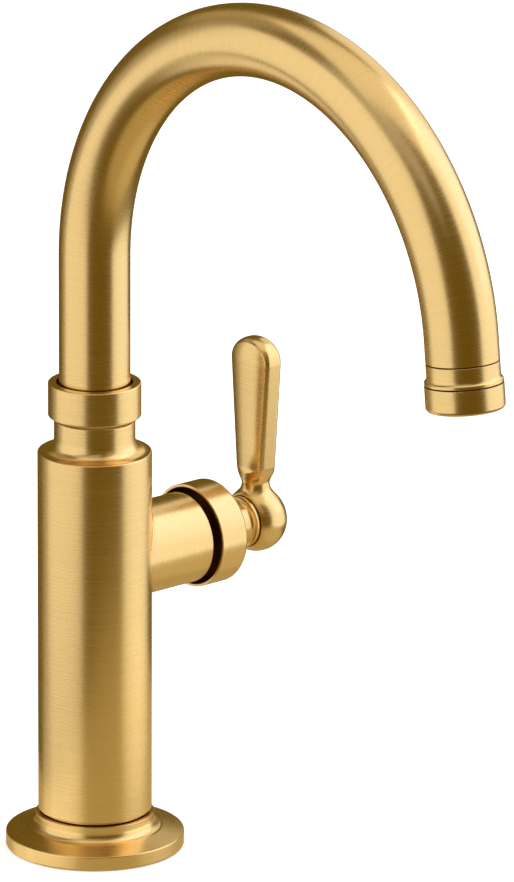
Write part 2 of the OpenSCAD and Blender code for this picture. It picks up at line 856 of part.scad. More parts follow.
module aerator_washer() {
    color(RUBBER) at_outlet() rotate_extrude() translate([adapter_bore_r, aerator_pocket])
        square([aerator_thread_r - adapter_bore_r, washer_t]);
}

module aerator_housing() {
    color(GOLD) at_outlet() rotate_extrude() difference() {
        union() {
            bar_profile(aerator_thread_r, insert_top, aerator_end, edge_r, 0);
            bar_profile(aerator_r, aerator_top, aerator_end, edge_r / 2, aerator_round);
        }
        square([aerator_bore_r, grid_end]);
        square([aerator_mouth_r, aerator_end + cut]);
    }
}

// Cup that holds the flow regulator over a ring of jets
module aerator_insert() {
    color(GREY_PLASTIC) at_outlet() difference() {
        hole(insert_r, insert_top, grid_top);
        hole(insert_bore_r, insert_top - cut, jet_plate_top);
        hole(insert_bore_r, jet_plate_top + jet_plate_t, grid_top + cut);
        for (i = [0 : jet_count - 1]) rotate(i * 360 / jet_count) translate([jet_ring_r, 0, 0])
            hole(jet_r, jet_plate_top - cut, jet_plate_top + jet_plate_t + cut);
    }
}

module flow_regulator() {
    color(RUBBER) at_outlet() difference() {
        hole(insert_bore_r - seat_fit, jet_plate_top - regulator_t, jet_plate_top);
        hole(regulator_bore_r, jet_plate_top - regulator_t - cut, jet_plate_top + cut);
    }
}

// Honeycomb that straightens the water at the mouth
module aerator_grid() {
    cell_r = (cell_pitch - cell_wall) / sqrt(3);
    rings = floor((aerator_mouth_r - cell_r) / cell_pitch);
    color(PLASTIC) at_outlet() difference() {
        hole(insert_r, grid_top, grid_end);
        for (i = [-rings : rings])
            for (j = [-rings : rings])
                if (abs(i + j) <= rings)
                    translate([cell_pitch * (i + j / 2), cell_pitch * j * sqrt(3) / 2, grid_top - cut])
                        rotate(30) cylinder(r = cell_r, h = grid_t + 2 * cut, $fn = 6);
    }
}

base_flange();
base_gasket();
base_plug();
hot_riser();
cold_riser();
valve_block();
block_seal();
column();
valve_branch();
swivel_washer();
spout_screw();
port_seals();
cartridge_base();
fixed_disc();
cartridge_body();
retaining_nut();
cartridge_rotor();
pivot_pin();
moving_disc();
disc_carrier();
cartridge_stem();
handle_skirt();
handle_stem();
stem_screw();
lever_stud();
lever();
spout_spigot();
spout_o_rings();
spout_tube();
spout_collar();
outlet_adapter();
aerator_washer();
flow_regulator();
aerator_insert();
aerator_grid();
aerator_housing();
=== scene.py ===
"""Looks for a gooseneck bar faucet in brushed gold. Metres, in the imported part's own frame.

The column stands on Z, the spout reaches towards -Y and the valve branch points along +X.
"""

import logging
import math
from dataclasses import dataclass, field
from enum import Enum
from typing import Any, Sequence, Union

import bmesh
import bpy
from mathutils import Matrix, Vector


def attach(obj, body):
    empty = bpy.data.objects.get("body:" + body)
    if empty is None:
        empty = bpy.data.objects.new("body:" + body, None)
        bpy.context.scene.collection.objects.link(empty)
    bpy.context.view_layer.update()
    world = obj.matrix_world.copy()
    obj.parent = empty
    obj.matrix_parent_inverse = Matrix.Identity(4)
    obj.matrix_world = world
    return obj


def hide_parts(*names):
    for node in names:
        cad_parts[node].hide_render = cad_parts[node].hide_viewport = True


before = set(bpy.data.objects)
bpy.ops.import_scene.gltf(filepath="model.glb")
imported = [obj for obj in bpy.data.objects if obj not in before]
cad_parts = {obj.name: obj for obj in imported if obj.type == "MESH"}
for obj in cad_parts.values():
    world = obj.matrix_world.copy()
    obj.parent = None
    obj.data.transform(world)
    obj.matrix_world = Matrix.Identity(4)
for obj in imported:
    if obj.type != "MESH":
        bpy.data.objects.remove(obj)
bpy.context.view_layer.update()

log = logging.getLogger("faucet")

MM = 0.001
WELD = 1e-7
Point = tuple[float, float, float]
Colour = tuple[float, float, float]
Key = Union[int, str]
Sockets = dict[Key, Any]


# ---- Shader expressions ----


class Wire:
    """One socket of a shader tree. Python's operators on it add Math nodes."""

    def __init__(self, graph: "Graph", socket: bpy.types.NodeSocket) -> None:
        """Carries an output of a tree's node on."""
        self.graph = graph
        self.socket = socket

    def _math(self, operation: str, *values: "Number") -> "Wire":
        """Adds a Math node on the values in their order."""
        sockets = dict(enumerate(values))
        return self.graph.node("ShaderNodeMath", {"operation": operation}, sockets)

    def __add__(self, other: "Number") -> "Wire":
        """Sum."""
        return self._math("ADD", self, other)

    __radd__ = __add__

    def __sub__(self, other: "Number") -> "Wire":
        """Difference."""
        return self._math("SUBTRACT", self, other)

    def __rsub__(self, other: "Number") -> "Wire":
        """Difference the other way round."""
        return self._math("SUBTRACT", other, self)

    def __mul__(self, other: "Number") -> "Wire":
        """Product."""
        return self._math("MULTIPLY", self, other)

    __rmul__ = __mul__

    def __truediv__(self, other: "Number") -> "Wire":
        """Quotient."""
        return self._math("DIVIDE", self, other)

    def __gt__(self, other: "Number") -> "Wire":
        """1 where this is the larger, or else 0."""
        return self._math("GREATER_THAN", self, other)

    def __lt__(self, other: "Number") -> "Wire":
        """1 where this is the smaller, or else 0."""
        return self._math("LESS_THAN", self, other)

    def root(self) -> "Wire":
        """Square root."""
        return self._math("SQRT", self)

    def hypot(self, other: "Wire") -> "Wire":
        """Length of the hypotenuse over this and the other."""
        return (self * self + other * other).root()

    def angle(self, other: "Wire") -> "Wire":
        """Angle in radians of the point (other, self)."""
        return self._math("ARCTAN2", self, other)

    def size(self) -> "Wire":
        """Value without its sign."""
        return self._math("ABSOLUTE", self)

    def within(self, low: float, high: float) -> "Wire":
        """1 where this lies between the two, or else 0."""
        return (self > low) * (self < high)

    def whole(self) -> "Wire":
        """Largest whole number that isn't above this."""
        return self._math("FLOOR", self)

    def sine(self) -> "Wire":
        """Sine of this angle."""
        return self._math("SINE", self)

    def cosine(self) -> "Wire":
        """Cosine of this angle."""
        return self._math("COSINE", self)

    def least(self, other: "Number") -> "Wire":
        """The smaller of the two."""
        return self._math("MINIMUM", self, other)

    def most(self, other: "Number") -> "Wire":
        """The larger of the two."""
        return self._math("MAXIMUM", self, other)

    def melt(self, other: "Number", width: "Number") -> "Wire":
        """The smaller of the two, with the corner between them rounded over a width."""
        return self._math("SMOOTH_MIN", self, other, width)

    def choose(self, chosen: "Number", fallback: "Number") -> "Wire":
        """The first value where this wire is 1, and the second where it is 0."""
        return self * chosen + (1 - self) * fallback


Number = Union[Wire, float]


class Graph:
    """The node tree of a material, of the world or of a mesh recipe."""

    def __init__(self, tree: bpy.types.NodeTree) -> None:
        """Takes a tree and empties it."""
        self.tree = tree
        tree.nodes.clear()

    def make(self, kind: str, settings: dict[str, Any], values: Sockets) -> bpy.types.Node:
        """Adds a node.

        Args:
            kind: the node's type.
            settings: its properties, set before its sockets.
            values: a number, colour or wire for each of its inputs.

        Returns:
            The node.
        """
        node = self.tree.nodes.new(kind)
        for name, value in settings.items():
            setattr(node, name, value)
        for name, value in values.items():
            if isinstance(value, Wire):
                self.tree.links.new(value.socket, node.inputs[name])
            else:
                node.inputs[name].default_value = value
        return node

    def node(self, kind: str, settings: dict[str, Any], values: Sockets, output: Key = 0) -> Wire:
        """Adds a node, as make does, and gives one of its outputs."""
        return Wire(self, self.make(kind, settings, values).outputs[output])

    def here(self) -> Wire:
        """Object coordinates, as a vector."""
        return self.node("ShaderNodeTexCoord", {}, {}, "Object")

    def place(self) -> tuple[Wire, Wire, Wire]:
        """Object coordinates x, y and z."""
        return self.split(self.here())

    def split(self, at: Wire) -> tuple[Wire, Wire, Wire]:
        """Takes a vector apart."""
        parts = self.make("ShaderNodeSeparateXYZ", {}, {0: at})
        return tuple(Wire(self, out) for out in parts.outputs)

    def vector(self, x: Number, y: Number, z: Number) -> Wire:
        """Joins three numbers to a vector."""
        return self.node("ShaderNodeCombineXYZ", {}, {0: x, 1: y, 2: z})

    def noise(self, at: Wire, scale: float, detail: float, roughness: float = 0.5) -> Wire:
        """Noise from 0 to 1 at a place, with its frequency, its octaves and the share that each adds."""
        return self.node("ShaderNodeTexNoise", {"noise_dimensions": "3D"},
                         {"Vector": at, "Scale": scale, "Detail": detail, "Roughness": roughness}, "Fac")

    def stretch(self, value: Wire, low: float, high: float) -> Wire:
        """Maps a range of a wire smoothly to 0 to 1, and clamps it."""
        return self.node("ShaderNodeMapRange", {"interpolation_type": "SMOOTHSTEP", "clamp": True},
                         {0: value, 1: low, 2: high})

    def bump(self, height: Wire, strength: float, relief: float) -> Wire:
        """Normal, as a height bends it by a strength and with a relief in metres."""
        return self.node("ShaderNodeBump", {}, {"Strength": strength, "Distance": relief, "Height": height})

    def mix(self, share: Number, first: Union[Wire, Colour], second: Union[Wire, Colour]) -> Wire:
        """Mixes two colours.

        Args:
            share: how much of the second there is.
            first: a colour or its wire.
            second: the other.

        Returns:
            The mixture.
        """
        inks = {"A": first, "B": second}
        ends = {key: ink if isinstance(ink, Wire) else (*ink, 1.0) for key, ink in inks.items()}
        return self.node("ShaderNodeMix", {"data_type": "RGBA"}, {"Factor": share, **ends}, "Result")


# ---- Finishes ----


class Lay(Enum):
    """The way that the brushing runs on a piece."""

    ROUND_COLUMN = "round the column's axis"
    ROUND_BRANCH = "round the branch's axis"
    COLUMN_AND_BRANCH = "round the column, and round the branch beyond it"
    # The skirt's dark bore is painted shade over its unplated brass.
    SKIRT = "round the branch's axis, with a dark bore"
    ROUND_SPOUT = "round the spout tube's own axis"
    ACROSS_LEVER = "level, across the lever's blade"


@dataclass(frozen=True)
class Layout:
    """The part's leading sizes, which the pieces and finishes share."""

    column_r: float = 20.4 * MM
    branch_r: float = 16.5 * MM
    branch_z: float = 106.2 * MM
    arc_r: float = 94.8 * MM
    arc_z: float = 219 * MM
    sweep: float = math.radians(173.8)
    tube_r: float = 12.7 * MM
    tube_foot_z: float = 163.2 * MM
    tube_run: float = 7.4 * MM
    hub_x: float = 71 * MM
    hub_mid_x: float = 76.9 * MM
    lip_z: float = 12.5 * MM
    collar_top_z: float = 172.6 * MM


LAYOUT = Layout()


@dataclass(frozen=True)
class Seams:
    """The dark gaps between the gold pieces, which neither the plating nor the light reaches.

    They are the skirt's bore, the gap at the column's foot, the recess in the collar's top, the edge of
    the stem's disc, the hub's face behind it, and the outlet's two seams, which are measured past
    the arc's end. Each radius is one that its gap stays within. The gold in them gets a near-black
    painted shade.
    """

    bore_r: float = 17.95 * MM
    bore_end: float = 54.6 * MM
    foot_below: float = 0.1 * MM
    foot_above: float = 0.45 * MM
    foot_r: float = 19.9 * MM
    collar_depth: float = 2.1 * MM
    collar_r: float = 13.72 * MM
    disc_edge: float = 0.32 * MM
    hub_face: float = 0.1 * MM
    hub_face_r: float = 9.6 * MM
    outlet: tuple[tuple[float, float], ...] = ((7.18 * MM, 7.62 * MM), (14.68 * MM, 15.14 * MM))


SEAMS = Seams()


class Finish:
    """What a piece is dressed in. It makes its material once."""

    title: str

    def name(self) -> str:
        """Name of the material."""
        return self.title

    def paint(self, graph: Graph) -> Sockets:
        """What the shader's sockets get."""
        raise NotImplementedError

    def build(self) -> bpy.types.Material:
        """Makes the material, unless it is there.

        Returns:
            The material.
        """
        found = bpy.data.materials.get(self.name())
        if found:
            return found
        material = bpy.data.materials.new(self.name())
        material.use_nodes = True
        graph = Graph(material.node_tree)
        shader = graph.node("ShaderNodeBsdfPrincipled", {}, self.paint(graph))
        graph.make("ShaderNodeOutputMaterial", {}, {"Surface": shader})
        return material


@dataclass(frozen=True)
class BrushedGold(Finish):
    """Satin gold plating over brushed brass, with fine lines along one lay.

    Each line runs from deep in its trough to light on its crest. A near-black painted shade fills the
    seams and the skirt's bore, where the gaps lie in shade; the bore's brass is also unplated. The fields
    that end in _rough add to the roughness of the smoothest spots. line and drift are the width and
    length of the fine lines. broad_along and broad_across say how much less often the broad ones
    change, and broad_share is their part in colour and relief. contrast is the part of the noise that
    is stretched to full contrast, and branch_gap how far off the column the branch's lay starts.
    """

    lay: Lay
    light: Colour = (0.92, 0.665, 0.30)
    deep: Colour = (0.885, 0.63, 0.275)
    # Near-black painted shade for the seams and the skirt's bore.
    painted_shade: Colour = (0.160, 0.052, 0.018)
    roughness: float = 0.23
    line_rough: float = 0.05
    cloud_rough: float = 0.04
    seam_rough: float = 0.4
    line: float = 0.26 * MM
    drift: float = 45 * MM
    broad_along: float = 0.5
    broad_across: float = 0.16
    broad_share: float = 0.6
    contrast: tuple[float, float] = (0.3, 0.7)
    clouds: float = 45.0
    bump: float = 0.14
    relief: float = 0.02 * MM
    branch_gap: float = 0.2 * MM

    def name(self) -> str:
        """Name of the material."""
        return "brushed_gold_" + self.lay.name.lower()

    def shade_mask(self, graph: Graph) -> Number:
        """Finds the seams and the skirt's bore.

        Args:
            graph: the material's tree.

        Returns:
            1 in them, where the shade is painted, or else 0.
        """
        x, y, z = graph.place()
        if self.lay is Lay.SKIRT:
            return (y.hypot(z - LAYOUT.branch_z) < SEAMS.bore_r) * (x < SEAMS.bore_end)
        if self.lay is Lay.ROUND_COLUMN:
            radius = x.hypot(y)
            foot = z.within(LAYOUT.lip_z - SEAMS.foot_below, LAYOUT.lip_z + SEAMS.foot_above)
            collar = z > LAYOUT.collar_top_z - SEAMS.collar_depth
            return (foot * (radius < SEAMS.foot_r)).most(collar * (radius < SEAMS.collar_r))
        if self.lay is Lay.ROUND_BRANCH:
            return x > LAYOUT.hub_x - SEAMS.disc_edge
        if self.lay is Lay.ACROSS_LEVER:
            return (x < LAYOUT.hub_x + SEAMS.hub_face) * (y.hypot(z - LAYOUT.branch_z) < SEAMS.hub_face_r)
        if self.lay is Lay.ROUND_SPOUT:
            past = (z - LAYOUT.arc_z) * math.cos(LAYOUT.sweep) - (y + LAYOUT.arc_r) * math.sin(LAYOUT.sweep)
            upper, lower = (past.within(*seam) for seam in SEAMS.outlet)
            return upper.most(lower) * (y < -LAYOUT.arc_r)
        return 0.0

    def across(self, graph: Graph) -> tuple[Wire, Wire, Wire]:
        """Lays the lines over the piece.

        Args:
            graph: the material's tree.

        Returns:
            Two distances along the brushing and the one across it, in metres.
        """
        x, y, z = graph.place()
        if self.lay is Lay.ROUND_COLUMN:
            return x, y, z + x.hypot(y)
        z_branch = z - LAYOUT.branch_z
        if self.lay in (Lay.ROUND_BRANCH, Lay.SKIRT):
            return y, z_branch, x + y.hypot(z_branch)
        if self.lay is Lay.COLUMN_AND_BRANCH:
            beyond = x.hypot(y) > LAYOUT.column_r + self.branch_gap
            return y, beyond.choose(z_branch, x), beyond.choose(x + y.hypot(z_branch), z + x.hypot(y))
        if self.lay is Lay.ROUND_SPOUT:
            y_arc, z_arc = y + LAYOUT.arc_r, z - LAYOUT.arc_z
            leg = (z_arc < 0) * (y_arc > 0)
            turned = (math.pi / 2 - y_arc.angle(z_arc)) * LAYOUT.arc_r
            return x, leg.choose(y_arc, y_arc.hypot(z_arc)), leg.choose(z_arc, turned)
        return x, y, z

    def paint(self, graph: Graph) -> Sockets:
        """Draws the lines, the clouds and the dark seams.

        Args:
            graph: the material's tree.

        Returns:
            What the shader's sockets get.
        """
        first, second, cross = self.across(graph)
        along, over = 1 / self.drift, 1 / self.line
        fine_at = graph.vector(first * along, second * along, cross * over)
        fine = graph.noise(fine_at, scale=1.0, detail=3.0, roughness=0.65)
        broad_at = graph.vector(first * along * self.broad_along, second * along * self.broad_along,
                                cross * (self.broad_across / self.line))
        broad = graph.noise(broad_at, scale=1.0, detail=2.0)
        cloud = graph.noise(graph.vector(first, second, cross), scale=self.clouds, detail=3.0)
        lines = graph.stretch(fine, *self.contrast)
        tone = lines * (1 - self.broad_share) + graph.stretch(broad, *self.contrast) * self.broad_share
        # Painted shade: the seams and the skirt's bore are coloured near black where the gaps lie in shade.
        shade_mask = self.shade_mask(graph)
        rough = self.roughness + lines * self.line_rough + cloud * self.cloud_rough + shade_mask * self.seam_rough
        plating = graph.mix(tone, self.deep, self.light)
        return {"Base Color": graph.mix(shade_mask, plating, self.painted_shade), "Metallic": 1.0, "Roughness": rough,
                "Normal": graph.bump(fine + broad * self.broad_share, self.bump, self.relief)}


@dataclass(frozen=True)
class Machined(Finish):
    """Bare turned or drawn metal inside the faucet.

    It runs from light where it is clean to deep where it is stained. Tool marks lie groove apart,
    and the fields that end in _rough add to the roughness of the clean metal.
    """

    title: str
    light: Colour
    deep: Colour
    roughness: float = 0.28
    groove: float = 0.4 * MM
    marks: float = 60.0
    stains: float = 160.0
    stain_rough: float = 0.14
    mark_rough: float = 0.06
    bump: float = 0.3
    relief: float = 0.02 * MM

    def paint(self, graph: Graph) -> Sockets:
        """Draws the tool marks and the stains.

        Args:
            graph: the material's tree.

        Returns:
            What the shader's sockets get.
        """
        x, y, z = graph.place()
        fine_at = graph.vector(x * self.marks, y * self.marks, z * (1 / self.groove))
        fine = graph.noise(fine_at, scale=1.0, detail=2.0)
        stain = graph.noise(graph.here(), scale=self.stains, detail=4.0, roughness=0.6)
        rough = self.roughness + stain * self.stain_rough + fine * self.mark_rough
        return {"Base Color": graph.mix(stain, self.light, self.deep), "Metallic": 1.0, "Roughness": rough,
                "Normal": graph.bump(fine, self.bump, self.relief)}


@dataclass(frozen=True)
class Moulded(Finish):
    """Moulded plastic, rubber or fired ceramic, with a fine grain and wide flow marks.

    The fields that end in _rough are how far each of these moves the roughness.
    """

    title: str
    light: Colour
    deep: Colour
    roughness: float
    grain: float = 0.5 * MM
    bump: float = 0.25
    flow: float = 90.0
    grain_rough: float = 0.12
    flow_rough: float = 0.08
    relief: float = 0.03 * MM

    def paint(self, graph: Graph) -> Sockets:
        """Draws the grain and the flow marks.

        Args:
            graph: the material's tree.

        Returns:
            What the shader's sockets get.
        """
        fine = graph.noise(graph.here(), scale=1 / self.grain, detail=2.0)
        flow = graph.noise(graph.here(), scale=self.flow, detail=3.0)
        rough = self.roughness + (fine - 0.5) * self.grain_rough + (flow - 0.5) * self.flow_rough
        return {"Base Color": graph.mix(flow, self.light, self.deep), "Roughness": rough,
                "Normal": graph.bump(fine, self.bump, self.relief)}


RAW_BRASS = Machined("raw_brass", (0.72, 0.60, 0.33), (0.55, 0.43, 0.20))
COPPER = Machined("drawn_copper", (0.80, 0.44, 0.27), (0.62, 0.30, 0.17))
STEEL = Machined("machined_steel", (0.62, 0.62, 0.63), (0.48, 0.48, 0.50))
# The retaining nut's brass is near black: painted shade, standing in for the shadow that it sits in.
SHADE_DARK_BRASS = Machined("oiled_brass", (0.115, 0.034, 0.028), (0.070, 0.021, 0.017), 0.42)
RUBBER = Moulded("seal_rubber", (0.030, 0.030, 0.033), (0.045, 0.045, 0.048), 0.62)
BROWN_RUBBER = Moulded("brown_rubber", (0.250, 0.155, 0.045), (0.200, 0.120, 0.034), 0.85)
CERAMIC = Moulded("lapped_ceramic", (0.88, 0.86, 0.82), (0.82, 0.80, 0.75), 0.16, 0.3 * MM, 0.05)
WHITE_PLASTIC = Moulded("white_plastic", (0.83, 0.82, 0.78), (0.78, 0.77, 0.72), 0.42)
GREY_PLASTIC = Moulded("grey_plastic", (0.34, 0.35, 0.37), (0.28, 0.29, 0.31), 0.46)
BLACK_PLASTIC = Moulded("black_plastic", (0.014, 0.012, 0.012), (0.020, 0.017, 0.016), 0.5)


# ---- Mesh helpers ----


def finish_piece(name: str, mesh: bpy.types.Mesh, body: str, finish: Finish,
                 replaced: Sequence[str] = ()) -> bpy.types.Object:
    """Puts a mesh in the scene as a piece of the faucet.

    Args:
        name: the piece's name.
        mesh: its mesh, in the part's frame.
        body: the body that it rides on.
        finish: what it is dressed in.
        replaced: the nodes that it stands for.

    Returns:
        The piece.
    """
    piece = bpy.data.objects.new(name, mesh)
    bpy.context.scene.collection.objects.link(piece)
    mesh.materials.clear()
    mesh.materials.append(finish.build())
    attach(piece, body)
    if replaced:
        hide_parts(*replaced)
    log.info("%s: %d faces on %s", name, len(mesh.polygons), body)
    return piece


def dress(node: str, finish: Finish) -> None:
    """Gives a node that keeps its shape its finish.

    Args:
        node: the node's name.
        finish: what it is dressed in.
    """
    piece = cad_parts[node]
    if not piece.material_slots:
        piece.data.materials.append(None)
    for place in piece.material_slots:
        place.material = finish.build()
    log.info("%s: dressed in %s", node, finish.build().name)


# ---- Geometry Nodes ----


class Recipe:
    """A Geometry Nodes tree with named sizes, which is run once for its plain mesh."""

    def __init__(self, title: str, sizes: dict[str, Union[int, float]]) -> None:
        """Starts the tree with its inputs.

        Args:
            title: name of the tree and of its mesh.
            sizes: name and value of each of its inputs.
        """
        self.title = title
        self.values = sizes
        self.tree = bpy.data.node_groups.new(title, "GeometryNodeTree")
        self.tree.interface.new_socket("Geometry", in_out="OUTPUT", socket_type="NodeSocketGeometry")
        self.keys: dict[str, str] = {}
        for name, value in sizes.items():
            kind = "NodeSocketInt" if isinstance(value, int) else "NodeSocketFloat"
            socket = self.tree.interface.new_socket(name, in_out="INPUT", socket_type=kind)
            self.keys[name] = socket.identifier
        self.graph = Graph(self.tree)
        entry = self.graph.make("NodeGroupInput", {}, {})
        self.sizes = {name: Wire(self.graph, entry.outputs[name]) for name in sizes}

    def place(self) -> tuple[Wire, Wire, Wire]:
        """Position x, y and z."""
        return self.graph.split(self.graph.node("GeometryNodeInputPosition", {}, {}))

    def step(self, kind: str, settings: dict[str, Any], values: Sockets) -> Wire:
        """Adds a node and gives its first output."""
        return self.graph.node(kind, settings, values)

    def run(self, geometry: Wire, finish: Finish) -> bpy.types.Mesh:
        """Ends the tree and takes its mesh.

        Args:
            geometry: the shape that the tree gives.
            finish: what it is dressed in.

        Returns:
            The shape as a plain mesh.
        """
        real = self.step("GeometryNodeRealizeInstances", {}, {"Geometry": geometry})
        dressed = self.step("GeometryNodeSetMaterial", {}, {"Geometry": real, "Material": finish.build()})
        self.graph.make("NodeGroupOutput", {}, {"Geometry": dressed})
        carrier = bpy.data.objects.new(self.title, bpy.data.meshes.new(self.title))
        bpy.context.scene.collection.objects.link(carrier)
        modifier = carrier.modifiers.new("recipe", "NODES")
        modifier.node_group = self.tree
        for name, value in self.values.items():
            modifier[self.keys[name]] = value
        return plain(carrier)


def plain(carrier: bpy.types.Object) -> bpy.types.Mesh:
    """Takes the mesh that an object's modifiers give, and removes the object.

    Args:
        carrier: the object.

    Returns:
        Its mesh, with no modifier left to run.
    """
    graph = bpy.context.evaluated_depsgraph_get()
    mesh = bpy.data.meshes.new_from_object(carrier.evaluated_get(graph), depsgraph=graph)
    bpy.data.objects.remove(carrier)
    return mesh


def walled(mesh: bpy.types.Mesh, wall: float) -> bpy.types.Mesh:
    """Gives an open skin its wall, on the inner side.

    Args:
        mesh: the outer skin.
        wall: the wall's thickness.

    Returns:
        The closed shell.
    """
    carrier = bpy.data.objects.new("walled", mesh)
    bpy.context.scene.collection.objects.link(carrier)
    solid = carrier.modifiers.new("wall", "SOLIDIFY")
    solid.thickness = wall
    solid.offset = -1
    solid.use_even_offset = True
    return plain(carrier)


def outward(mesh: bpy.types.Mesh) -> None:
    """Merges doubles and turns every face outwards.

    Args:
        mesh: the mesh, which is changed in place.
    """
    shape = bmesh.new()
    shape.from_mesh(mesh)
    bmesh.ops.remove_doubles(shape, verts=shape.verts, dist=WELD)
    bmesh.ops.recalc_face_normals(shape, faces=shape.faces)
    shape.to_mesh(mesh)
    shape.free()


# ---- Sub-assemblies ----


@dataclass
class Column:
    """The column with its neck and valve branch, and the soft corner between the two.

    The corner has around profiles of steps facets, and its hidden back edge lies root radii deep.
    """

    corner_r: float = 1.8 * MM
    around: int = 240
    steps: int = 10
    root: float = 1.9

    def corner(self) -> bpy.types.Mesh:
        """Rolls a ball of radius corner_r along the join of column and branch.

        Returns:
            The strip that the ball touches, closed behind by a line in the metal.
        """
        big, small, ball = LAYOUT.column_r, LAYOUT.branch_r, self.corner_r
        rings: list[list[Vector]] = []
        for i in range(self.around):
            turn = 2 * math.pi * i / self.around
            y, z = (small + ball) * math.cos(turn), (small + ball) * math.sin(turn)
            centre = Vector((math.sqrt((big + ball) ** 2 - y * y), y, z))
            to_column = Vector((-centre.x, -y, 0)).normalized()
            to_branch = Vector((0, -y, -z)).normalized()
            turns = (to_column.slerp(to_branch, k / self.steps) for k in range(self.steps + 1))
            ring = [centre + turned * ball for turned in turns]
            inner = centre + (to_column + to_branch).normalized() * ball * self.root
            rings.append([p + Vector((0, 0, LAYOUT.branch_z)) for p in (*ring, inner)])
        shape = bmesh.new()
        verts = [[shape.verts.new(p) for p in ring] for ring in rings]
        width = self.steps + 2
        for i in range(self.around):
            here, there = verts[i], verts[(i + 1) % self.around]
            for k in range(width):
                face = shape.faces.new((here[k], there[k], there[(k + 1) % width], here[(k + 1) % width]))
                face.smooth = k < self.steps
        bmesh.ops.recalc_face_normals(shape, faces=shape.faces)
        mesh = bpy.data.meshes.new("branch_corner")
        shape.to_mesh(mesh)
        shape.free()
        return mesh

    def build(self) -> None:
        """Dresses the column and adds the soft corner."""
        round_column = BrushedGold(Lay.ROUND_COLUMN)
        dress("column", round_column)
        dress("base_flange", round_column)
        dress("valve_branch", BrushedGold(Lay.ROUND_BRANCH))
        both_lays = BrushedGold(Lay.COLUMN_AND_BRANCH)
        finish_piece("branch_corner", self.corner(), "base", both_lays)


